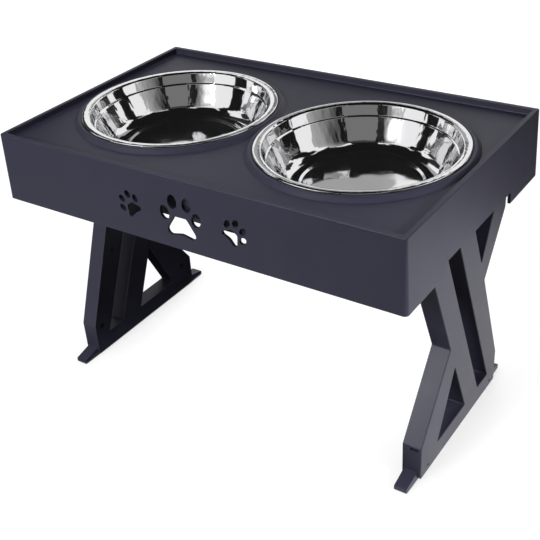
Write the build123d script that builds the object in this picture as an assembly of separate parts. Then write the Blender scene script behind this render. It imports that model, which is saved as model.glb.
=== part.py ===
from build123d import *
import os
from math import radians, tan

os.makedirs("parts", exist_ok=True)

# Elevated feeding stand: a drafted plastic tray with two steel bowls on two plug-in side legs.
# X runs along the tray, the paw cut-outs face -Y, and the origin is on the floor under the centre.

# Tray skirt, deck and lip
stand_height = 298.0
tray_length = 447.2
tray_width = 280.6
skirt_height = 70.8
skirt_wall = 3.0
skirt_draft = 1.78
skirt_corner = 2.0
skirt_inner_corner = 1.0
skirt_edge_round = 0.6
lip_width = 5.2
lip_height = 6.5
lip_outer_round = 0.9
lip_inner_round = 0.6
deck_thickness = 3.0
deck_corner_round = 1.2

# Stiffening ribs and leg notches under the tray
long_rib_inset = 20.0
long_rib_height = 42.5
rib_thickness = 2.5
notch_width = 146.0
notch_height = 12.0

# Steel bowls
bowl_centre_distance = 212.6
bowl_drop = 1.0
bowl_rim_radius = 101.2
bowl_mouth_radius = 93.2
bowl_depth = 41.0
bowl_band_depth = 11.0
bowl_shoulder_depth = 12.2
bowl_shoulder_radius = 88.0
bowl_base_radius = 62.5
bowl_base_corner = 17.0
bowl_wall_foot = 74.5
bowl_ridge_width = 5.0
bowl_ridge_rise = 1.2
bowl_ridge_round = 1.0
bowl_shoulder_round = 1.5
bowl_band_round = 1.5
bowl_band_taper = 3.6
flange_dish = 1.0
flange_inner_round = 0.4
flange_crown_round = 4.0
steel_thickness = 0.8
rim_bead_radius = 1.3

# Collar that each bowl sits in
collar_clearance = 0.6
seat_gap = 0.3
hole_clearance = 1.0
collar_crest_drop = 2.5
collar_crest_width = 3.0
collar_slope_width = 4.2
collar_crest_round = 1.2
collar_lip_round = 0.6
collar_hem = 2.5
collar_hem_depth = 2.5

# Paw cut-outs in the front wall
paw_centre_drop = 49.3
paw_small_scale = 0.58
paw_small_offset = 55.3
paw_small_rise = 6.5
paw_small_turn = 39.0
paw_pad_half_width = 21.5
paw_pad_top = 12.0
paw_pad_bottom = -10.3
paw_pad_shoulder = 6.5
paw_pad_arch = 4.6
paw_pad_top_round = 5.0
paw_pad_corner_round = 4.4
paw_pad_arch_round = 12.0
paw_toe_length = 14.2
paw_toe_width = 10.4
paw_inner_toe = (8.2, 25.7, 6.0)
paw_outer_toe = (17.9, 12.9, 12.0)

# Side leg outline, seen along X, heights above the floor
leg_thickness = 19.7
leg_inset = 6.8
leg_bottom = 2.2
leg_base_half = 89.0
leg_head_half = 86.0
leg_base_kink = 40.2
front_waist = (-30.6, 119.2)
back_waist_height = 155.5
head_kink_drop = 61.0
band_lean = 23.5
front_band_width = 31.9
leg_slot_width = 25.0
back_band_width = 33.3
opening_bottom = 22.3
opening_head_gap = 31.0
lower_triangle_corner = -52.7
lower_triangle_apex = 90.5
upper_triangle_corner = 65.7
upper_triangle_apex = 180.3
leg_corner_round = 1.6
opening_corner_round = 1.0
leg_edge_round = 0.9

# Leg shell and cover
leg_wall = 2.5
leg_face_wall = 2.6
cover_thickness = 2.4
cover_gap = 0.2
boss_radius = 3.6
screw_radius = 1.5
screw_head_radius = 3.0
screw_head_height = 1.6
screw_length = 11.0
screw_gap = 0.02
head_screw_inset = 18.0
band_screw_heights = (150.0, 120.0)
base_screw_insets = (17.5, 10.5)
base_screw_height = 36.0

# Foot bar, its snap barbs and its rubber pads
foot_bar_width = 14.0
foot_bar_inset = 2.1
foot_bar_clearance = 0.2
foot_tab_reach = 22.3
foot_root_height = 10.4
foot_tip_height = 5.4
foot_tip_narrowing = 0.4
foot_bar_bottom = 0.4
foot_bar_round = 0.8
barb_insets = (16.0, 13.0)
barb_width = 3.0
barb_height = 2.0
barb_centre_height = 8.8
barb_reach = 1.2
snap_window = (8.6, 2.8)
snap_window_drop = 3.4
snap_window_inset = 7.5
pad_length = 38.0
pad_width = 9.0
pad_thickness = 1.6
pad_round = 1.0
pad_gap = 0.02
pad_end_inset = 7.0

# Bracket under the deck that holds each leg's head
socket_clearance = 0.4
socket_wall = 2.0
socket_depth = 32.0
socket_ear_reach = 16.0
socket_ear_width = 20.0
socket_ear_thickness = 3.0
socket_screw_inset = 8.0
socket_screw_length = 9.0
socket_boss_radius = 4.0
guide_rib_insets = (22.0, 62.0)
stop_rib_insets = (10.0, 28.0)
stop_rib_height = 11.5

# Places worked out from the sizes above
skirt_bottom = stand_height - skirt_height
deck_top = stand_height - lip_height
deck_underside = deck_top - deck_thickness
end_wall_inside = tray_length / 2 - skirt_wall
leg_top = deck_underside - stop_rib_height
head_kink_back = leg_top - head_kink_drop
opening_top = leg_top - opening_head_gap
paw_centre_height = stand_height - paw_centre_drop
leg_outer_x = tray_length / 2 - leg_inset
leg_inner_x = leg_outer_x - leg_thickness
socket_inner_x = leg_inner_x - socket_clearance - socket_wall
socket_reach = end_wall_inside - socket_clearance - socket_inner_x
socket_half_length = leg_head_half + socket_clearance + socket_wall
rim_thickness = 2 * rim_bead_radius
bowl_top = stand_height - bowl_drop
seat_height = bowl_top - rim_thickness - seat_gap
seat_radius = bowl_rim_radius + collar_clearance
hole_radius = bowl_mouth_radius + steel_thickness + hole_clearance
slot_front = front_band_width
slot_back = slot_front + leg_slot_width
band_back = slot_back + back_band_width
channel_top = foot_root_height + foot_bar_clearance + leg_wall
foot_bar_x = leg_inner_x + foot_bar_inset + foot_bar_width / 2
foot_bar_end = leg_base_half + foot_tab_reach
pad_centre = foot_bar_end - pad_end_inset - pad_length / 2
barb_places = (barb_insets[0] - leg_base_half, leg_base_half - barb_insets[1])


def leg_plane(x):
    """The plane across X whose own axes run along Y and Z."""
    return Plane(origin=(x, 0, 0), x_dir=(0, 1, 0), z_dir=(1, 0, 0))


def half_turn(shape):
    """The same moulding on the other end of the tray: turned half round about Z."""
    return Rot(0, 0, 180) * shape


def save(shape, node):
    export_step(shape, f"parts/{node}.step")


# Tray

def drafted_block(length, width, radius, top, height):
    """A block that widens downwards by the skirt's draft."""
    outline = Plane.XY.offset(top) * RectangleRounded(length, width, radius)
    return extrude(outline, amount=height, dir=(0, 0, -1), taper=-skirt_draft)


def tray_outside():
    block = drafted_block(tray_length, tray_width, skirt_corner, stand_height, skirt_height)
    recess_length = tray_length - 2 * lip_width
    recess_width = tray_width - 2 * lip_width
    recess = Plane.XY.offset(deck_top) * RectangleRounded(recess_length, recess_width, skirt_corner)
    recess = extrude(recess, amount=lip_height)
    recess = fillet(recess.edges().group_by(Axis.Z)[0], deck_corner_round)
    block -= recess
    lip_face = block.faces().sort_by(Axis.Z)[-1]
    block = fillet(lip_face.inner_wires()[0].edges(), lip_inner_round)
    lip_face = block.faces().sort_by(Axis.Z)[-1]
    block = fillet(lip_face.outer_wire().edges(), lip_outer_round)
    return fillet(block.edges().group_by(Axis.Z)[0], skirt_edge_round)


def tray_cavity():
    inner_length = tray_length - 2 * skirt_wall
    inner_width = tray_width - 2 * skirt_wall
    drop = stand_height - deck_underside
    widening = 2 * drop * tan(radians(skirt_draft))
    return drafted_block(
        inner_length + widening, inner_width + widening, skirt_inner_corner, deck_underside, skirt_height
    )


def collar(x):
    """Raised ring round a bowl hole, cored from below, with a hem turned down into the hole."""
    crest_height = stand_height - collar_crest_drop
    crest_radius = seat_radius + collar_crest_width
    foot_radius = crest_radius + collar_slope_width
    hem_bottom = deck_underside - collar_hem_depth
    core_top = seat_height - deck_thickness
    points = [
        (hole_radius, hem_bottom),
        (hole_radius, seat_height),
        (seat_radius, seat_height),
        (seat_radius, crest_height),
        (crest_radius, crest_height),
        (foot_radius, deck_top),
        (foot_radius, deck_underside),
        (crest_radius - collar_hem, core_top),
        (hole_radius + collar_hem, core_top),
        (hole_radius + collar_hem, hem_bottom),
    ]
    radii = [0, 0, 0, collar_lip_round, collar_crest_round, 0, 0, 0, 0, 0]
    profile = Plane.XZ * make_face(FilletPolyline(points, radius=radii, close=True))
    return Pos(x, 0, 0) * revolve(profile, axis=Axis.Z)


def collar_hole(x):
    """The round space inside a collar, which its ring then fills up to the bowl hole."""
    outer = seat_radius + collar_crest_width + collar_slope_width
    disc = Cylinder(outer, 2 * deck_thickness, align=(Align.CENTER, Align.CENTER, Align.CENTER))
    return Pos(x, 0, deck_top - deck_thickness / 2) * disc


def toe(place, side, scale):
    x, z, lean = place
    oval = Ellipse(paw_toe_width * scale / 2, paw_toe_length * scale / 2)
    return Pos(side * x * scale, z * scale) * Rot(0, 0, side * lean * -1) * oval


def paw(x, z, turn, scale):
    """One paw print as a flat outline in the front wall's plane."""
    pad_points = [
        (-paw_pad_shoulder * scale, paw_pad_top * scale),
        (paw_pad_shoulder * scale, paw_pad_top * scale),
        (paw_pad_half_width * scale, paw_pad_bottom * scale),
        (0, (paw_pad_bottom + paw_pad_arch) * scale),
        (-paw_pad_half_width * scale, paw_pad_bottom * scale),
    ]
    pad_radii = [
        paw_pad_top_round * scale,
        paw_pad_top_round * scale,
        paw_pad_corner_round * scale,
        paw_pad_arch_round * scale,
        paw_pad_corner_round * scale,
    ]
    outline = make_face(FilletPolyline(pad_points, radius=pad_radii, close=True))
    for side in (-1, 1):
        for place in (paw_inner_toe, paw_outer_toe):
            outline += toe(place, side, scale)
    return Pos(x, z) * Rot(0, 0, turn) * outline


def paw_cutters():
    front = Plane(origin=(0, -tray_width / 2, 0), x_dir=(1, 0, 0), z_dir=(0, -1, 0))
    small_height = paw_centre_height + paw_small_rise
    prints = [
        paw(0, paw_centre_height, 0, 1),
        paw(-paw_small_offset, small_height, paw_small_turn, paw_small_scale),
        paw(paw_small_offset, small_height, -paw_small_turn, paw_small_scale),
    ]
    return [extrude(front * outline, amount=2 * skirt_wall, both=True) for outline in prints]


def mirrored_places(insets):
    """Places along Y at the given distances in from both ends of the leg's head."""
    return [sign * (leg_head_half - inset) for inset in insets for sign in (-1, 1)]


def long_rib(side):
    hung = (Align.CENTER, Align.CENTER, Align.MAX)
    rib = Box(tray_length + 2 * skirt_wall, rib_thickness, long_rib_height, align=hung)
    return Pos(0, side * (tray_width / 2 - long_rib_inset), deck_underside) * rib


def guide_ribs():
    """Upright ribs inside the right end wall that steady the leg's outer face, and stops over its head."""
    guide_depth = tray_length / 2 - leg_outer_x - socket_clearance + skirt_wall
    guide_height = deck_underside - skirt_bottom - notch_height
    hung = (Align.MIN, Align.CENTER, Align.MAX)
    ribs = []
    for y in mirrored_places(guide_rib_insets):
        rib = Box(guide_depth, rib_thickness, guide_height, align=hung)
        ribs.append(Pos(leg_outer_x + socket_clearance, y, deck_underside) * rib)
    stop_length = end_wall_inside - leg_inner_x + skirt_wall / 2
    for y in mirrored_places(stop_rib_insets):
        rib = Box(stop_length, rib_thickness, deck_underside - leg_top, align=hung)
        ribs.append(Pos(leg_inner_x, y, deck_underside) * rib)
    return ribs


def socket_screw_points():
    """Where the bracket's ears are screwed to the bosses under the deck, on the right end."""
    x = socket_inner_x + socket_reach / 2
    y = socket_half_length + socket_screw_inset
    return [(x, -y), (x, y)]


def deck_bosses():
    bosses = []
    for x, y in socket_screw_points():
        height = deck_underside - leg_top
        boss = Cylinder(socket_boss_radius, height, align=(Align.CENTER, Align.CENTER, Align.MAX))
        pilot = Cylinder(screw_radius + screw_gap, height, align=(Align.CENTER, Align.CENTER, Align.MAX))
        bosses.append(Pos(x, y, deck_underside) * (boss - pilot))
    return bosses


def tray_shell():
    outside = tray_outside()
    end_features = guide_ribs() + deck_bosses()
    features = [long_rib(-1), long_rib(1)] + end_features + [half_turn(feature) for feature in end_features]
    tray = outside - tray_cavity()
    tray += [feature & outside for feature in features]
    bowl_x = bowl_centre_distance / 2
    tray -= [collar_hole(-bowl_x), collar_hole(bowl_x)]
    tray += [collar(-bowl_x), collar(bowl_x)]
    tray -= paw_cutters()
    notch = Box(4 * skirt_wall, notch_width, 2 * notch_height)
    for side in (-1, 1):
        tray -= Pos(side * tray_length / 2, 0, skirt_bottom) * notch
    return tray


# Bowls

def bowl():
    """A spun steel bowl: rolled flange, upright band, stacking shoulder and a base with a pressed ridge."""
    top = bowl_top
    base = top - bowl_depth
    ridge_inner = bowl_base_radius - bowl_ridge_width
    flange_middle = (bowl_rim_radius + bowl_mouth_radius) / 2
    inside = FilletPolyline(
        (0, base),
        (ridge_inner, base),
        (ridge_inner + bowl_ridge_width / 2, base + bowl_ridge_rise),
        (bowl_base_radius, base + bowl_ridge_rise / 2),
        (bowl_wall_foot, base + bowl_ridge_rise / 2),
        (bowl_shoulder_radius, top - bowl_shoulder_depth),
        (bowl_mouth_radius - bowl_band_taper, top - bowl_band_depth),
        (bowl_mouth_radius, top - flange_dish),
        (flange_middle, top),
        (bowl_rim_radius - rim_bead_radius, top - steel_thickness),
        radius=[
            bowl_ridge_round, bowl_ridge_round, bowl_ridge_round, bowl_base_corner,
            bowl_shoulder_round, bowl_band_round, flange_inner_round, flange_crown_round,
        ],
    )
    skin = offset(Plane.XZ * inside, amount=-steel_thickness, side=Side.LEFT, closed=True)
    wall = revolve(make_face(skin), axis=Axis.Z)
    bead_centre = (bowl_rim_radius - rim_bead_radius, top - rim_bead_radius)
    bead = Plane.XZ * Pos(*bead_centre) * Circle(rim_bead_radius)
    return wall + revolve(bead, axis=Axis.Z)


# Legs, modelled on the right end

def band_edge(z, across=0.0):
    """Y of a line that runs with the double diagonal band, across mm behind its front edge."""
    return front_waist[0] - (z - front_waist[1]) * tan(radians(band_lean)) + across


def leg_outline():
    head_kink_front = front_waist[1] + (leg_head_half + front_waist[0]) / tan(radians(band_lean))
    return [
        (-leg_base_half, leg_bottom),
        (-leg_base_half, leg_base_kink),
        front_waist,
        (-leg_head_half, head_kink_front),
        (-leg_head_half, leg_top),
        (leg_head_half, leg_top),
        (leg_head_half, head_kink_back),
        (band_edge(back_waist_height, band_back), back_waist_height),
        (leg_base_half, leg_base_kink),
        (leg_base_half, leg_bottom),
    ]


def leg_openings():
    slot = [
        (band_edge(opening_bottom, slot_front), opening_bottom),
        (band_edge(opening_bottom, slot_back), opening_bottom),
        (band_edge(opening_top, slot_back), opening_top),
        (band_edge(opening_top, slot_front), opening_top),
    ]
    lower_triangle = [
        (lower_triangle_corner, opening_bottom),
        (band_edge(opening_bottom), opening_bottom),
        (band_edge(lower_triangle_apex), lower_triangle_apex),
    ]
    upper_triangle = [
        (band_edge(upper_triangle_apex, band_back), upper_triangle_apex),
        (upper_triangle_corner, opening_top),
        (band_edge(opening_top, band_back), opening_top),
    ]
    return [slot, lower_triangle, upper_triangle]


def cover_screw_points():
    """Two screws at the leg's head, one in each band and two at the base."""
    front_height, back_height = band_screw_heights
    front_inset, back_inset = base_screw_insets
    head_y = leg_head_half - head_screw_inset
    head_height = leg_top - head_screw_inset
    return [
        (-head_y, head_height),
        (head_y, head_height),
        (band_edge(front_height, front_band_width / 2), front_height),
        (band_edge(back_height, slot_back + back_band_width / 2), back_height),
        (front_inset - leg_base_half, base_screw_height),
        (leg_base_half - back_inset, base_screw_height),
    ]


def sharp_face(points):
    return make_face(Polyline(points, close=True))


def rounded_face(points, radius):
    return make_face(FilletPolyline(points, radius=radius, close=True))


def leg_face():
    """The leg's outline less its three openings."""
    face = rounded_face(leg_outline(), leg_corner_round)
    for points in leg_openings():
        face -= rounded_face(points, opening_corner_round)
    return face


def leg_face_inset(inset):
    """The same face drawn in by inset from every edge."""
    face = offset(sharp_face(leg_outline()), amount=-inset, kind=Kind.ARC)
    for points in leg_openings():
        face -= offset(sharp_face(points), amount=inset, kind=Kind.INTERSECTION)
    return face


def leg_shell():
    """Hollow leg, open on its inner side, with a channel along its base for the foot bar."""
    shell = extrude(leg_plane(leg_inner_x) * leg_face(), amount=leg_thickness)
    outer_face = shell.faces().sort_by(Axis.X)[-1]
    shell = fillet(outer_face.edges(), leg_edge_round)
    hollow = leg_plane(leg_inner_x) * leg_face_inset(leg_wall)
    shell -= extrude(hollow, amount=leg_thickness - leg_face_wall)
    half_length = leg_base_half - leg_wall / 2
    floor_height = channel_top - leg_bottom - leg_wall / 2
    channel = Box(leg_thickness - leg_face_wall / 2, 2 * half_length, floor_height,
                  align=(Align.MIN, Align.CENTER, Align.MAX))
    shell += Pos(leg_inner_x, 0, channel_top) * channel
    for y, z in cover_screw_points():
        shell += screw_boss(y, z)
    bar_space = Box(foot_bar_width + 2 * foot_bar_clearance, 4 * leg_base_half,
                    foot_root_height + foot_bar_clearance, align=(Align.CENTER, Align.CENTER, Align.MIN))
    shell -= Pos(foot_bar_x, 0, 0) * bar_space
    for y in barb_places:
        window_width = barb_width + 2 * foot_bar_clearance
        window_height = barb_height + 2 * foot_bar_clearance
        window = Box(leg_thickness, window_width, window_height,
                     align=(Align.MIN, Align.CENTER, Align.CENTER))
        shell -= Pos(foot_bar_x, y, barb_centre_height) * window
    snap_length, snap_height = snap_window
    window = Box(snap_length, 4 * leg_wall, snap_height)
    window_height = leg_base_kink - snap_window_drop
    shell -= Pos(leg_outer_x - snap_window_inset, -leg_base_half, window_height) * window
    return shell


def screw_boss(y, z):
    length = leg_thickness - cover_thickness - leg_face_wall / 2
    outline = Pos(y, z) * Circle(boss_radius)
    boss = extrude(leg_plane(leg_inner_x + cover_thickness) * outline, amount=length)
    pilot = Circle(screw_radius + screw_gap)
    return boss - extrude(leg_plane(leg_inner_x) * Pos(y, z) * pilot, amount=screw_length)


def countersunk_screw(length):
    """Self-tapping screw that points along +Z from its flat head at the origin."""
    standing = (Align.CENTER, Align.CENTER, Align.MIN)
    head = Cone(screw_head_radius, screw_radius, screw_head_height, align=standing)
    shank = Cylinder(screw_radius, length, align=standing)
    return head + shank


def leg_cover():
    """Flat plate let into the leg's open side."""
    plate = extrude(leg_plane(leg_inner_x) * leg_face_inset(leg_wall + cover_gap), amount=cover_thickness)
    base_strip = Box(4 * leg_thickness, 4 * leg_base_half, channel_top + cover_gap,
                     align=(Align.CENTER, Align.CENTER, Align.MIN))
    plate -= Pos(leg_inner_x, 0, 0) * base_strip
    for y, z in cover_screw_points():
        hole = Circle(screw_radius + cover_gap)
        sink = Cone(screw_head_radius + screw_gap, screw_radius + screw_gap, screw_head_height,
                    align=(Align.CENTER, Align.CENTER, Align.MIN))
        plate -= extrude(leg_plane(leg_inner_x) * Pos(y, z) * hole, amount=cover_thickness)
        plate -= leg_plane(leg_inner_x) * Pos(y, z, 0) * sink
    return plate


def cover_screws():
    screw = countersunk_screw(screw_length)
    places = [leg_plane(leg_inner_x) * Pos(y, z, 0) for y, z in cover_screw_points()]
    return Compound(children=[place * screw for place in places])


def foot_bar():
    """Bar under the leg with a flat wedge at each end, barbs for the leg's windows and pad pockets."""
    end = foot_bar_end
    side_points = [
        (-end, foot_bar_bottom),
        (end, foot_bar_bottom),
        (end, foot_tip_height),
        (leg_base_half, foot_root_height),
        (-leg_base_half, foot_root_height),
        (-end, foot_tip_height),
    ]
    side_radii = [foot_bar_round, foot_bar_round, foot_bar_round, 0, 0, foot_bar_round]
    half_width = foot_bar_width / 2
    tip_half = half_width - foot_tip_narrowing
    plan_points = [
        (-tip_half, -end), (tip_half, -end), (half_width, -leg_base_half), (half_width, leg_base_half),
        (tip_half, end), (-tip_half, end), (-half_width, leg_base_half), (-half_width, -leg_base_half),
    ]
    side = make_face(FilletPolyline(side_points, radius=side_radii, close=True))
    plan = make_face(Polyline(plan_points, close=True))
    bar = extrude(leg_plane(0) * side, amount=half_width, both=True)
    bar &= extrude(plan, amount=leg_bottom + foot_root_height)
    for y in barb_places:
        barb = Box(2 * barb_reach, barb_width, barb_height)
        bar += Pos(half_width, y, barb_centre_height) * barb
    for sign in (-1, 1):
        pocket = Box(pad_width, pad_length, pad_thickness, align=(Align.CENTER, Align.CENTER, Align.MIN))
        bar -= Pos(0, sign * pad_centre, 0) * pocket
    return Pos(foot_bar_x, 0, 0) * bar


def foot_pads():
    pads = []
    for sign in (-1, 1):
        outline = RectangleRounded(pad_width - 2 * pad_gap, pad_length - 2 * pad_gap, pad_round)
        pads.append(Pos(foot_bar_x, sign * pad_centre, 0) * extrude(outline, amount=pad_thickness))
    return Compound(children=pads)


# Sockets under the deck, modelled on the right end

def socket_bracket():
    """U-shaped guide round the leg's head, with a braced ear at each end screwed to the deck."""
    outside_align = (Align.MIN, Align.CENTER, Align.MAX)
    inside_align = (Align.MIN, Align.CENTER, Align.CENTER)
    inside_length = 2 * (socket_half_length - socket_wall)
    outside = Box(socket_reach, 2 * socket_half_length, socket_depth, align=outside_align)
    inside = Box(socket_reach, inside_length, 2 * socket_depth, align=inside_align)
    bracket = Pos(socket_inner_x, 0, leg_top) * outside
    bracket -= Pos(socket_inner_x + socket_wall, 0, leg_top) * inside
    ear_x = socket_inner_x + socket_reach / 2
    for sign, ear_align in ((-1, Align.MAX), (1, Align.MIN)):
        ear = Box(socket_ear_width, socket_ear_reach + socket_wall / 2, socket_ear_thickness,
                  align=(Align.CENTER, ear_align, Align.MAX))
        bracket += Pos(ear_x, sign * (socket_half_length - socket_wall / 2), leg_top) * ear
        brace_points = [(0, 0), (sign * socket_ear_reach / 2, 0), (0, -socket_depth / 2)]
        brace = sharp_face(brace_points)
        for edge in (-1, 1):
            brace_x = ear_x + edge * (socket_ear_width - rib_thickness) / 2
            place = Pos(sign * (socket_half_length - socket_wall / 4), leg_top - socket_ear_thickness / 2)
            bracket += extrude(leg_plane(brace_x) * place * brace, amount=rib_thickness / 2, both=True)
    for x, y in socket_screw_points():
        hole = Cylinder(screw_radius + cover_gap, 4 * socket_ear_thickness)
        sink = Cone(screw_head_radius + screw_gap, screw_radius + screw_gap, screw_head_height,
                    align=(Align.CENTER, Align.CENTER, Align.MIN))
        bracket -= Pos(x, y, leg_top) * hole
        bracket -= Pos(x, y, leg_top - socket_ear_thickness) * sink
    return bracket


def socket_screws():
    screw = countersunk_screw(socket_screw_length)
    height = leg_top - socket_ear_thickness
    return Compound(children=[Pos(x, y, height) * screw for x, y in socket_screw_points()])


# Write every piece

save(tray_shell(), "tray_shell")
for side, name in ((-1, "left"), (1, "right")):
    save(Pos(side * bowl_centre_distance / 2, 0, 0) * bowl(), f"bowl_{name}")

right_end_pieces = {
    "leg_{}_shell": leg_shell(),
    "leg_{}_cover": leg_cover(),
    "leg_{}_screws": cover_screws(),
    "foot_bar_{}": foot_bar(),
    "foot_pads_{}": foot_pads(),
    "socket_bracket_{}": socket_bracket(),
    "socket_screws_{}": socket_screws(),
}
for node, piece in right_end_pieces.items():
    save(piece, node.format("right"))
    save(half_turn(piece), node.format("left"))
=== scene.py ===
import bmesh
import bpy
import numpy as np
from mathutils import Matrix


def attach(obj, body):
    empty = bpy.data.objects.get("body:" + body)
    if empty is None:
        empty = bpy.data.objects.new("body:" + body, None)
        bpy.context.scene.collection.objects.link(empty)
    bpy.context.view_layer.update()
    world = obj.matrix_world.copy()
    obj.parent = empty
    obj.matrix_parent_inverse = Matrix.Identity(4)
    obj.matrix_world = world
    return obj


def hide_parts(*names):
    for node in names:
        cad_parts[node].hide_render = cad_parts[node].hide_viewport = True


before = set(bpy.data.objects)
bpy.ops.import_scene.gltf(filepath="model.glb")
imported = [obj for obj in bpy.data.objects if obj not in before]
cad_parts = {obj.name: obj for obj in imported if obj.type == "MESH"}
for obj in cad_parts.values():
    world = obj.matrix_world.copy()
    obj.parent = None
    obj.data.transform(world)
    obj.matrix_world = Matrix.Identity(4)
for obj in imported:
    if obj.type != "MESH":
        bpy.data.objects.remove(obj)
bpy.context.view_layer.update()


# Camera
# The stand is seen from the front right, from well above the rims, with a slight lean of the camera.
# Lens, angles and distance come from the tray's corners and both rims in the photograph.
camera_aim = (0.0, -0.010451, 0.132787)
camera_distance = 1.01229
camera_azimuth = 35.82673
camera_elevation = 31.88979
camera_lean = -4.15736
focal_pixels = 956.71
photo_pixels = 540
film_width = 36.0

view = bpy.data.cameras.new("view")
view.sensor_fit = "HORIZONTAL"
view.sensor_width = film_width
view.lens = focal_pixels / photo_pixels * film_width
view_object = bpy.data.objects.new("view", view)
view_turn = (
    Matrix.Rotation(np.radians(camera_azimuth), 4, "Z")
    @ Matrix.Rotation(np.radians(90 - camera_elevation), 4, "X")
    @ Matrix.Rotation(np.radians(camera_lean), 4, "Z")
)
step_back = Matrix.Translation((0, 0, camera_distance))
view_object.matrix_world = Matrix.Translation(camera_aim) @ view_turn @ step_back
bpy.context.scene.collection.objects.link(view_object)
bpy.context.scene.camera = view_object
bpy.context.scene.view_settings.view_transform = "Standard"


# Tray
# One injection-moulded tray: lipped deck, drafted skirt, collars round the bowl holes, ribs underneath.
# Its dark slate plastic has a fine even grain from the mould and no paint.
blotch_scale = 28.0
tone_shift = 0.10
gloss_shift = 0.06


def node(tree, kind, x, y, **values):
    """One shader node, its sockets set by name with spaces written as underscores."""
    made = tree.nodes.new(kind)
    made.location = (x, y)
    for key, value in values.items():
        if hasattr(made, key):
            setattr(made, key, value)
        else:
            made.inputs[key.replace("_", " ")].default_value = value
    return made


def socket(group, name, direction, kind="NodeSocketFloat"):
    """One socket on the outside of a node group."""
    group.interface.new_socket(name=name, in_out=direction, socket_type=kind)


def grain_group():
    """Moulded surface: a fine grain for the height, and slow blotches that shift tone and gloss."""
    group = bpy.data.node_groups.new("moulded_grain", "ShaderNodeTree")
    socket(group, "Colour", "INPUT", "NodeSocketColor")
    socket(group, "Grain Scale", "INPUT")
    socket(group, "Roughness", "INPUT")
    socket(group, "Colour", "OUTPUT", "NodeSocketColor")
    socket(group, "Roughness", "OUTPUT")
    socket(group, "Height", "OUTPUT")
    given = group.nodes.new("NodeGroupInput")
    out = group.nodes.new("NodeGroupOutput")
    place = node(group, "ShaderNodeTexCoord", -800, 0)
    fine = node(group, "ShaderNodeTexNoise", -500, 200, Detail=3.0, Roughness=0.6)
    blotch = node(group, "ShaderNodeTexNoise", -500, -200, Scale=blotch_scale, Detail=4.0, Roughness=0.6)
    tone = node(group, "ShaderNodeMapRange", -250, 0, To_Min=1.0 - tone_shift, To_Max=1.0 + tone_shift)
    gloss = node(group, "ShaderNodeMapRange", -250, -300, To_Min=-gloss_shift, To_Max=gloss_shift)
    shade = node(group, "ShaderNodeVectorMath", 0, 0, operation="SCALE")
    dull = node(group, "ShaderNodeMath", 0, -300, operation="ADD")
    link = group.links.new
    for noise in (fine, blotch):
        link(place.outputs["Object"], noise.inputs["Vector"])
    link(given.outputs["Grain Scale"], fine.inputs["Scale"])
    link(blotch.outputs["Fac"], tone.inputs["Value"])
    link(blotch.outputs["Fac"], gloss.inputs["Value"])
    link(given.outputs["Colour"], shade.inputs[0])
    link(tone.outputs["Result"], shade.inputs["Scale"])
    link(given.outputs["Roughness"], dull.inputs[0])
    link(gloss.outputs["Result"], dull.inputs[1])
    link(shade.outputs["Vector"], out.inputs["Colour"])
    link(dull.outputs["Value"], out.inputs["Roughness"])
    link(fine.outputs["Fac"], out.inputs["Height"])
    return group


moulded_grain = grain_group()


def grained(name, colour, roughness, specular, scale, depth, metallic=0.0):
    """A grained plastic, rubber or dull metal: colour, roughness and height come from the grain group.
    scale is the grain's noise scale, and depth is how far it stands out, in metres."""
    material = bpy.data.materials.new(name)
    material.use_nodes = True
    tree = material.node_tree
    shader = tree.nodes["Principled BSDF"]
    grain = node(
        tree, "ShaderNodeGroup", -500, 0, node_tree=moulded_grain,
        Colour=colour, Grain_Scale=scale, Roughness=roughness,
    )
    bump = node(tree, "ShaderNodeBump", -250, -200, Strength=1.0, Distance=depth)
    shader.inputs["Specular IOR Level"].default_value = specular
    shader.inputs["Metallic"].default_value = metallic
    link = tree.links.new
    link(grain.outputs["Colour"], shader.inputs["Base Color"])
    link(grain.outputs["Roughness"], shader.inputs["Roughness"])
    link(grain.outputs["Height"], bump.inputs["Height"])
    link(bump.outputs["Normal"], shader.inputs["Normal"])
    return material


def dress(cad_node, material):
    """Gives a carried-over CAD node its material."""
    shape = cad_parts[cad_node]
    shape.data.materials.clear()
    shape.data.materials.append(material)


slate_plastic = grained(
    "slate_plastic", (0.036, 0.035, 0.060, 1.0), roughness=0.46, specular=0.30, scale=1500.0, depth=0.00003
)
dress("tray_shell", slate_plastic)


# Bowls
# Two spun bowls of thin polished stainless steel, with a rolled edge and a pressed ridge in the base.
# Each hangs by its flange in a collar of the tray and lifts straight out.
bowl_spacing = 0.2126
bowl_centres = {"bowl_left": -bowl_spacing / 2, "bowl_right": bowl_spacing / 2}
bowl_top = 0.297
steel_thickness = 0.0008
bead_radius = 0.0012
bead_room = 1.02
bead_start, bead_end, bead_steps = 10.0, 270.0, 28
spin_steps = 256
corner_steps = 9
longest_run, shortest_run = 0.003, 0.00001
merge_distance = 0.0000001

# The inside's corners from the centre to the flange, as radius and height over the rim's plane,
# and the radius of the round at each corner between the first and the last.
bowl_inside = np.array([
    (0.0, -0.0410), (0.0575, -0.0410), (0.0600, -0.0398), (0.0625, -0.0404), (0.0745, -0.0404),
    (0.0880, -0.0122), (0.0896, -0.0110), (0.0930, -0.0013), (0.0969, 0.00045), (0.1001, -0.00025),
])
bowl_rounds = np.array([0.001, 0.001, 0.001, 0.017, 0.0015, 0.0015, 0.002, 0.0095])


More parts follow.
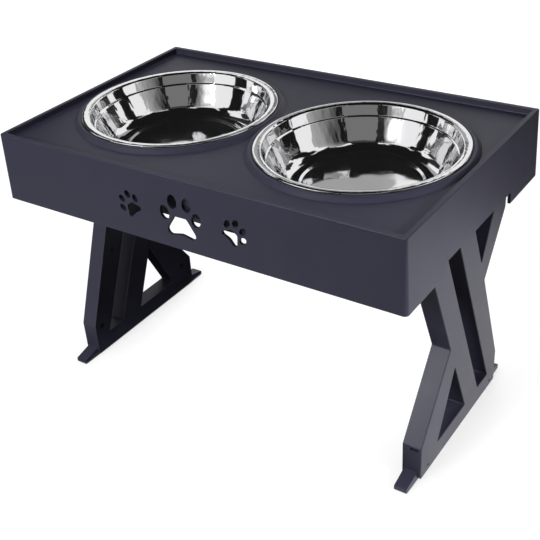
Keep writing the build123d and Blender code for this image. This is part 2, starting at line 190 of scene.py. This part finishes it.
def rounded(points, radii, steps):
    """A polyline whose inner corners are arcs: each arc leaves and meets its runs at
    radius / tan(half the corner) from the corner, and turns evenly between the two tangent points."""
    corner, back, ahead = points[1:-1], points[:-2] - points[1:-1], points[2:] - points[1:-1]
    back = back / np.linalg.norm(back, axis=1, keepdims=True)
    ahead = ahead / np.linalg.norm(ahead, axis=1, keepdims=True)
    half = np.arccos(np.clip((back * ahead).sum(1), -1, 1)) / 2
    middle = (back + ahead) / np.linalg.norm(back + ahead, axis=1, keepdims=True)
    centre = corner + middle * (radii / np.sin(half))[:, None]
    start = corner + back * (radii / np.tan(half))[:, None] - centre
    end = corner + ahead * (radii / np.tan(half))[:, None] - centre
    turn = (np.pi - 2 * half)[:, None, None]
    t = np.linspace(0, 1, steps)[None, :, None]
    swung = np.sin((1 - t) * turn) * start[:, None] + np.sin(t * turn) * end[:, None]
    arc = centre[:, None] + swung / np.sin(turn)
    return np.vstack([points[:1], arc.reshape(-1, 2), points[-1:]])


def evenly(points):
    """The same polyline with extra points, so that no run is longer than longest_run or next to nothing."""
    runs = np.linalg.norm(np.diff(points, axis=0), axis=1)
    along = np.concatenate([[0], np.cumsum(runs)])
    wanted = np.union1d(along, np.arange(0, along[-1], longest_run))
    wanted = wanted[np.concatenate([[True], np.diff(wanted) > shortest_run])]
    return np.stack([np.interp(wanted, along, column) for column in points.T], axis=1)


def beside(points, distance):
    """The polyline moved sideways, to its right, by distance along the mean normal of its runs."""
    ways = np.gradient(points, axis=0)
    ways = ways / np.linalg.norm(ways, axis=1, keepdims=True)
    return points + distance * np.stack([ways[:, 1], -ways[:, 0]], axis=1)


def mesh_piece(name, vertices, faces, uv):
    """A mesh object with smooth faces and its doubled points merged.
    Its UV map is uv, which holds a place for every corner of every face."""
    mesh = bpy.data.meshes.new(name)
    mesh.from_pydata(vertices.tolist(), [], faces.tolist())
    layer = mesh.uv_layers.new(name="spin")
    layer.data.foreach_set("uv", uv.ravel().astype(np.float32))
    work = bmesh.new()
    work.from_mesh(mesh)
    bmesh.ops.remove_doubles(work, verts=work.verts, dist=merge_distance)
    bmesh.ops.recalc_face_normals(work, faces=work.faces)
    work.to_mesh(mesh)
    work.free()
    mesh.shade_smooth()
    made = bpy.data.objects.new(name, mesh)
    bpy.context.scene.collection.objects.link(made)
    return made


def spun(name, profile, centre, steps):
    """A surface of revolution: a point (r, z) of the profile goes to centre + (r cos a, r sin a, z) for each
    angle a. The UV map holds the turn a / 360 degrees and the length along the profile in metres."""
    turn = np.linspace(0, 2 * np.pi, steps, endpoint=False)
    r, z = profile[:, :1], profile[:, 1:]
    grid = np.stack([r * np.cos(turn), r * np.sin(turn), z + 0 * turn], axis=2) + centre
    ring = np.arange(len(profile) - 1)[:, None] * steps
    here = np.arange(steps)
    after = (here + 1) % steps
    faces = np.stack([ring + here, ring + after, ring + steps + after, ring + steps + here], axis=2)
    along = np.concatenate([[0], np.cumsum(np.linalg.norm(np.diff(profile, axis=0), axis=1))])
    across = np.stack([here, here + 1, here + 1, here], axis=1) / steps
    down = np.stack([along[:-1], along[:-1], along[1:], along[1:]], axis=1)[:, None]
    uv = np.stack(np.broadcast_arrays(across, down), axis=3)
    return mesh_piece(name, grid.reshape(-1, 3), faces.reshape(-1, 4), uv)


def bowl_profile():
    """The inside from its centre to the flange, round the rolled bead, and back along the outside,
    which begins bead_room times the bead's radius short of the bead's middle."""
    inside = evenly(rounded(bowl_inside, bowl_rounds, corner_steps))
    outside = beside(inside, steel_thickness)
    along = bowl_inside[-1] - bowl_inside[-2]
    upward = np.array([-along[1], along[0]]) / np.linalg.norm(along)
    middle = bowl_inside[-1] - bead_radius * upward
    turn = np.arctan2(upward[1], upward[0]) - np.radians(np.linspace(bead_start, bead_end, bead_steps))
    curl = middle + bead_radius * np.stack([np.cos(turn), np.sin(turn)], axis=1)
    outside = outside[outside[:, 0] < middle[0] - bead_room * bead_radius]
    outside[0, 0] = 0.0
    return np.vstack([inside, curl, outside[::-1]])


# The steel: its roughness, noise scales, heights in metres, and where along the profile the wall begins.
steel_colour = (0.80, 0.80, 0.81, 1.0)
smoothest, roughest = 0.03, 0.10
ring_scale, ring_depth = 2500.0, 0.0000002
dent_scale, dent_depth = 26.0, 0.0010
wave_scale, wave_stretch, wave_share = 85.0, 0.2, 0.5
wall_start, wall_end = 0.072, 0.082


def spun_lines_group():
    """Polished steel. Lines: fine rings, a noise read along the profile alone, which set the gloss too.
    Dents: a slow noise all round, plus wave_share of a noise drawn out upwards, on the wall only."""
    group = bpy.data.node_groups.new("spun_lines", "ShaderNodeTree")
    socket(group, "Roughness", "OUTPUT")
    socket(group, "Lines", "OUTPUT")
    socket(group, "Dents", "OUTPUT")
    out = group.nodes.new("NodeGroupOutput")
    place = node(group, "ShaderNodeTexCoord", -900, 0)
    split = node(group, "ShaderNodeSeparateXYZ", -700, 100)
    lines = node(group, "ShaderNodeTexNoise", -450, 100, noise_dimensions="1D", Scale=ring_scale, Detail=4.0)
    gloss = node(group, "ShaderNodeMapRange", -200, 200, To_Min=smoothest, To_Max=roughest)
    dents = node(group, "ShaderNodeTexNoise", -450, -200, Scale=dent_scale, Detail=1.0)
    drawn = node(group, "ShaderNodeMapping", -700, -500, Scale=(1.0, 1.0, wave_stretch))
    waves = node(group, "ShaderNodeTexNoise", -450, -500, Scale=wave_scale, Detail=2.0)
    shape = node(group, "ShaderNodeMath", -200, -350, operation="MULTIPLY_ADD")
    wall = node(
        group, "ShaderNodeMapRange", -450, -750,
        From_Min=wall_start, From_Max=wall_end, To_Min=0.0, To_Max=wave_share,
    )
    link = group.links.new
    link(place.outputs["UV"], split.inputs["Vector"])
    link(split.outputs["Y"], lines.inputs["W"])
    link(split.outputs["Y"], wall.inputs["Value"])
    link(place.outputs["Object"], dents.inputs["Vector"])
    link(place.outputs["Object"], drawn.inputs["Vector"])
    link(drawn.outputs["Vector"], waves.inputs["Vector"])
    link(waves.outputs["Fac"], shape.inputs[0])
    link(wall.outputs["Result"], shape.inputs[1])
    link(dents.outputs["Fac"], shape.inputs[2])
    link(lines.outputs["Fac"], gloss.inputs["Value"])
    link(gloss.outputs["Result"], out.inputs["Roughness"])
    link(lines.outputs["Fac"], out.inputs["Lines"])
    link(shape.outputs["Value"], out.inputs["Dents"])
    return group


polished_steel = bpy.data.materials.new("polished_steel")
polished_steel.use_nodes = True
tree = polished_steel.node_tree
shader = tree.nodes["Principled BSDF"]
shader.inputs["Base Color"].default_value = steel_colour
shader.inputs["Metallic"].default_value = 1.0
spin = node(tree, "ShaderNodeGroup", -700, 0, node_tree=spun_lines_group())
ring_bump = node(tree, "ShaderNodeBump", -400, -100, Strength=1.0, Distance=ring_depth)
dent_bump = node(tree, "ShaderNodeBump", -200, -200, Strength=1.0, Distance=dent_depth)
link = tree.links.new
link(spin.outputs["Roughness"], shader.inputs["Roughness"])
link(spin.outputs["Lines"], ring_bump.inputs["Height"])
link(spin.outputs["Dents"], dent_bump.inputs["Height"])
link(ring_bump.outputs["Normal"], dent_bump.inputs["Normal"])
link(dent_bump.outputs["Normal"], shader.inputs["Normal"])

for body, x in bowl_centres.items():
    piece = spun(f"{body}_spun", bowl_profile(), (x, 0.0, bowl_top), spin_steps)
    piece.data.materials.append(polished_steel)
    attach(piece, body)
    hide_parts(body)


# Legs
# Each leg is a hollow moulding of the same plastic with a flat cover let into its inner side.
# Its head sits in a bracket under the deck, and it stands on a moulded foot bar.
for end in ("left", "right"):
    for cad_node in (f"leg_{end}_shell", f"leg_{end}_cover", f"foot_bar_{end}", f"socket_bracket_{end}"):
        dress(cad_node, slate_plastic)


# Foot pads
# Four strips of black rubber pushed into pockets under the foot bars.
# Rubber is duller than the plastic and has a coarser grain.
black_rubber = grained(
    "black_rubber", (0.018, 0.018, 0.019, 1.0), roughness=0.8, specular=0.3, scale=900.0, depth=0.00005
)
for end in ("left", "right"):
    dress(f"foot_pads_{end}", black_rubber)


# Screws
# Small self-tapping steel screws hold the covers to the legs and the brackets to the tray. Their near-black
# colour is painted shade, as dark as the shade inside the legs. They are dull, with hardly any grain.
blackened_steel = grained(
    "blackened_steel", (0.030, 0.030, 0.032, 1.0), roughness=0.50, specular=0.5, scale=700.0, depth=0.00001,
    metallic=1.0,
)
for end in ("left", "right"):
    dress(f"leg_{end}_screws", blackened_steel)
    dress(f"socket_screws_{end}", blackened_steel)


# Floor and world
# A wide white sheet under a white world, with painted soft shade close to what stands on it. Only the camera
# and shiny surfaces see them white. Other rays find them darker, so that little light comes back up under
# the tray.
floor_half = 6.0
paper_level, floor_dark_level = 0.20, 0.06
ambient_strength = 0.015

# The floor's own glow rises from glow_near, fade_start metres from the middle, to glow_far at fade_end.
# Where something stands within contact_reach, it sinks towards contact_level of that: a painted contact
# shade.
glow_near, glow_far = 0.93, 1.0
fade_start, fade_end = 0.4, 1.4
contact_reach, contact_level = 0.07, 0.65


def grey(level):
    """An opaque grey of that level, from 0, black, to 1, white."""
    return (level, level, level, 1.0)


def sheet(name, corners):
    """A flat piece of four corners. Its UV map runs from 0 to 1 from the first corner to the second."""
    uv = np.array([[(0, 0), (1, 0), (1, 1), (0, 1)]], float)
    return mesh_piece(name, np.array(corners, float), np.array([[0, 1, 2, 3]]), uv)


def seen_directly(tree, x, y):
    """1 for rays from the camera and from shiny or clear surfaces, 0 for the rest."""
    ray = node(tree, "ShaderNodeLightPath", x - 400, y)
    first = node(tree, "ShaderNodeMath", x - 200, y, operation="MAXIMUM")
    both = node(tree, "ShaderNodeMath", x, y, operation="MAXIMUM")
    tree.links.new(ray.outputs["Is Camera Ray"], first.inputs[0])
    tree.links.new(ray.outputs["Is Glossy Ray"], first.inputs[1])
    tree.links.new(first.outputs["Value"], both.inputs[0])
    tree.links.new(ray.outputs["Is Transmission Ray"], both.inputs[1])
    return both.outputs["Value"]


white_floor = bpy.data.materials.new("white_floor")
white_floor.use_nodes = True
tree = white_floor.node_tree
tree.nodes.remove(tree.nodes["Principled BSDF"])
paper = node(tree, "ShaderNodeBsdfDiffuse", -200, 200, Color=grey(paper_level))
glow = node(tree, "ShaderNodeEmission", -200, 0, Color=grey(1.0))
place = node(tree, "ShaderNodeTexCoord", -1000, 0)
reach = node(tree, "ShaderNodeVectorMath", -800, 0, operation="LENGTH")
fade = node(
    tree, "ShaderNodeMapRange", -600, 0,
    From_Min=fade_start, From_Max=fade_end, To_Min=glow_near, To_Max=glow_far,
)
# Ambient occlusion lowers the glow close under the stand, as painted contact shade.
close = node(tree, "ShaderNodeAmbientOcclusion", -800, -300, Distance=contact_reach)
contact = node(tree, "ShaderNodeMapRange", -600, -300, To_Min=contact_level, To_Max=1.0)
shaded = node(tree, "ShaderNodeMath", -400, -100, operation="MULTIPLY")
lit = node(tree, "ShaderNodeAddShader", 0, 100)
dark = node(tree, "ShaderNodeBsdfDiffuse", 0, -100, Color=grey(floor_dark_level))
choice = node(tree, "ShaderNodeMixShader", 200, 0)
link = tree.links.new
link(place.outputs["Object"], reach.inputs[0])
link(reach.outputs["Value"], fade.inputs["Value"])
link(close.outputs["AO"], contact.inputs["Value"])
link(fade.outputs["Result"], shaded.inputs[0])
link(contact.outputs["Result"], shaded.inputs[1])
link(shaded.outputs["Value"], glow.inputs["Strength"])
link(paper.outputs[0], lit.inputs[0])
link(glow.outputs[0], lit.inputs[1])
link(seen_directly(tree, 0, 400), choice.inputs[0])
link(dark.outputs[0], choice.inputs[1])
link(lit.outputs[0], choice.inputs[2])
link(choice.outputs[0], tree.nodes["Material Output"].inputs["Surface"])
corners = ((-1, -1), (1, -1), (1, 1), (-1, 1))
floor = sheet("floor", [(x * floor_half, y * floor_half, 0) for x, y in corners])
floor.data.materials.append(white_floor)

world = bpy.data.worlds.new("studio")
world.use_nodes = True
bpy.context.scene.world = world
tree = world.node_tree
seen = node(tree, "ShaderNodeBackground", -200, 200, Color=grey(1.0), Strength=1.0)
ambient = node(tree, "ShaderNodeBackground", -200, 0, Color=grey(1.0), Strength=ambient_strength)
choice = node(tree, "ShaderNodeMixShader", 0, 100)
link = tree.links.new
link(seen_directly(tree, -200, 500), choice.inputs[0])
link(ambient.outputs[0], choice.inputs[1])
link(seen.outputs[0], choice.inputs[2])
link(choice.outputs[0], tree.nodes["World Output"].inputs["Surface"])


# Studio cards and lamps
# Dark and bright cards round the set, seen by shiny surfaces alone, give the steel its bands. The key lamp,
# at the front left, is mirrored by the legs' lower faces and kept out of the left leg's openings by a flag.
# A narrow lamp lights the right end, and two more stand behind.
card_distance = 0.95
camera_way = np.radians(camera_azimuth - 90)
black = 0.01

# Edges that several cards share: rises in degrees, and for the floor cards z, x and y in metres.
low_edge, high_edge, top_edge = -16, 62, 70
floor_card_lift = 0.003
side_reach, front_reach, back_reach = 1.6, -1.8, 1.6
front_line, near_line = -0.38, -0.12


def only_seen_by(made, *rays):
    """Hides a stage piece from every kind of ray but those named."""
    for kind in ("camera", "diffuse", "glossy", "transmission", "shadow"):
        setattr(made, f"visible_{kind}", kind in rays)


def shiny_only(made, first, last):
    """Lets only shiny surfaces see a stage piece, as a glow that runs from first to last across its UV map,
    or stays at first where last is None."""
    material = bpy.data.materials.new(made.name)
    material.use_nodes = True
    tree = material.node_tree
    tree.nodes.remove(tree.nodes["Principled BSDF"])
    place = node(tree, "ShaderNodeTexCoord", -800, 0)
    across = node(tree, "ShaderNodeSeparateXYZ", -600, 0)
    level = node(tree, "ShaderNodeMapRange", -400, 0, To_Min=first, To_Max=first if last is None else last)
    tint = node(tree, "ShaderNodeEmission", 0, 0, Color=grey(1.0))
    link = tree.links.new
    link(place.outputs["UV"], across.inputs["Vector"])
    link(across.outputs["X"], level.inputs["Value"])
    link(level.outputs["Result"], tint.inputs["Strength"])
    link(tint.outputs[0], tree.nodes["Material Output"].inputs["Surface"])
    made.data.materials.append(material)
    only_seen_by(made, "glossy")


def card(name, turns, rises, first, last=None, steps=24):
    """A piece of a sphere of radius card_distance round the point midway between the bowls' rims: turn t, in
    degrees to the camera's left, and rise r give card_distance * (cos a cos r, sin a cos r, sin r) from that
    point, where a is camera_way - t. Its glow runs from first to last along turns."""
    turn = camera_way - np.radians(np.linspace(*turns, steps))[:, None]
    rise = np.radians(np.linspace(*rises, steps))[None, :]
    x, y, z = np.cos(turn) * np.cos(rise), np.sin(turn) * np.cos(rise), np.sin(rise) + 0 * turn
    grid = card_distance * np.stack([x, y, z], axis=2).reshape(-1, 3) + (0, 0, bowl_top)
    here = (np.arange(steps - 1)[:, None] * steps + np.arange(steps - 1)).ravel()
    faces = np.stack([here, here + steps, here + steps + 1, here + 1], axis=1)
    along = here // steps / (steps - 1)
    ahead = along + 1 / (steps - 1)
    uv = np.stack([np.stack([along, ahead, ahead, along], axis=1), np.zeros(faces.shape)], axis=2)
    shiny_only(mesh_piece(name, grid, faces, uv), first, last)


def floor_card(name, across, along, first, last=None):
    """A flat card just over the floor, between the two x of across and the two y of along.
    Its glow runs from first to last along x."""
    (left, right), (front, back) = across, along
    corners = ((left, front), (right, front), (right, back), (left, back))
    shiny_only(sheet(name, [(x, y, floor_card_lift) for x, y in corners]), first, last)


def flag(name, x, along, rises):
    """An upright sheet at x, between the two y of along and the two z of rises.
    No ray but a lamp's light meets it, and so it only throws a shadow."""
    (front, back), (low, high) = along, rises
    made = sheet(name, [(x, front, low), (x, back, low), (x, back, high), (x, front, high)])
    made.data.materials.append(white_floor)
    only_seen_by(made, "shadow")


def lamp(name, place, aim, size, watts, spread=180.0, shiny=False):
    """A soft rectangular lamp at place, turned towards aim, whose light fans out over spread degrees.
    Shiny surfaces mirror it where shiny is True."""
    light = bpy.data.lights.new(name, "AREA")
    light.shape = "RECTANGLE"
    light.size, light.size_y = size
    light.energy = watts
    light.spread = np.radians(spread)
    made = bpy.data.objects.new(name, light)
    way = np.array(aim, float) - np.array(place, float)
    from_z = -way / np.linalg.norm(way)
    side = np.cross((0, 0, 1.0), from_z)
    side = side / np.linalg.norm(side)
    up = np.cross(from_z, side)
    made.matrix_world = Matrix.Translation(place) @ Matrix([side, up, from_z]).transposed().to_4x4()
    bpy.context.scene.collection.objects.link(made)
    made.visible_camera = False
    made.visible_glossy = shiny


card("card_camera", (-22, 22), (low_edge, 46), 0.20)
card("card_camera_high", (-22, 22), (46, high_edge), 0.06)
card("card_camera_top", (-32, 32), (high_edge, top_edge), black)
card("card_camera_left", (22, 30), (low_edge, high_edge), black)
card("card_camera_right", (-29, -22), (low_edge, high_edge), black)
card("card_right_fade", (-64, -29), (low_edge, high_edge), 0.50, 0.05)
card("card_left_fade", (30, 54), (low_edge, high_edge), 0.10, 0.50)
card("card_far_left", (85, 105), (low_edge, 44), black)
card("card_far_right", (-107, -84), (low_edge, 44), black)
for sign, end in ((1, "left"), (-1, "right")):
    card(f"card_low_{end}", sorted((sign * 115, sign * 134)), (low_edge, 30), 0.03)
    card(f"card_arch_{end}", sorted((sign * 86, sign * 112)), (44, 50), black)
    card(f"card_high_{end}", sorted((sign * 58, sign * 104)), (53, top_edge), black)
    card(f"card_higher_{end}", sorted((sign * 104, sign * 150)), (43, top_edge), black)
card("card_back_left", (135, 156), (8, 48), 0.03)
card("card_back", (172, 197), (24, 40), 0.42)
card("card_back_low", (178, 201), (16, 24), 0.20)
card("card_back_high", (138, 222), (40, top_edge), black)
card("card_above", (-180, 180), (68, 90), black, steps=48)
floor_card("card_floor_left", (-side_reach, -0.45), (front_reach, front_line), 0.10)
floor_card("card_floor_front", (-0.45, 0.45), (front_reach, front_line), 0.10, black)
floor_card("card_floor_near", (-side_reach, 0.45), (front_line, near_line), 0.95)
floor_card("card_floor_under", (-side_reach, 0.20), (near_line, 0.40), black)
floor_card("card_floor_right", (0.20, side_reach), (near_line, 0.42), 1.35)
floor_card("card_floor_back", (0.20, side_reach), (0.42, back_reach), 0.15)
lamp("lamp_key", (-0.197, -1.073, 0.788), (0.05, -0.08, 0.2), size=(0.28, 0.24), watts=11, shiny=True)
lamp("lamp_right", (1.6, -0.10, 0.90), (0.22, -0.15, 0.15), size=(0.35, 0.35), watts=0.62, spread=22)
lamp("lamp_back", (-0.4, 1.3, 1.5), (0, 0, 0.3), size=(0.9, 0.9), watts=7.5)
lamp("lamp_rear", (-0.45, 1.25, 0.35), (0, 0.14, 0.2), size=(0.6, 0.4), watts=9)
flag("flag_left", -0.275, (-0.23, 0.12), (0.11, 0.33))
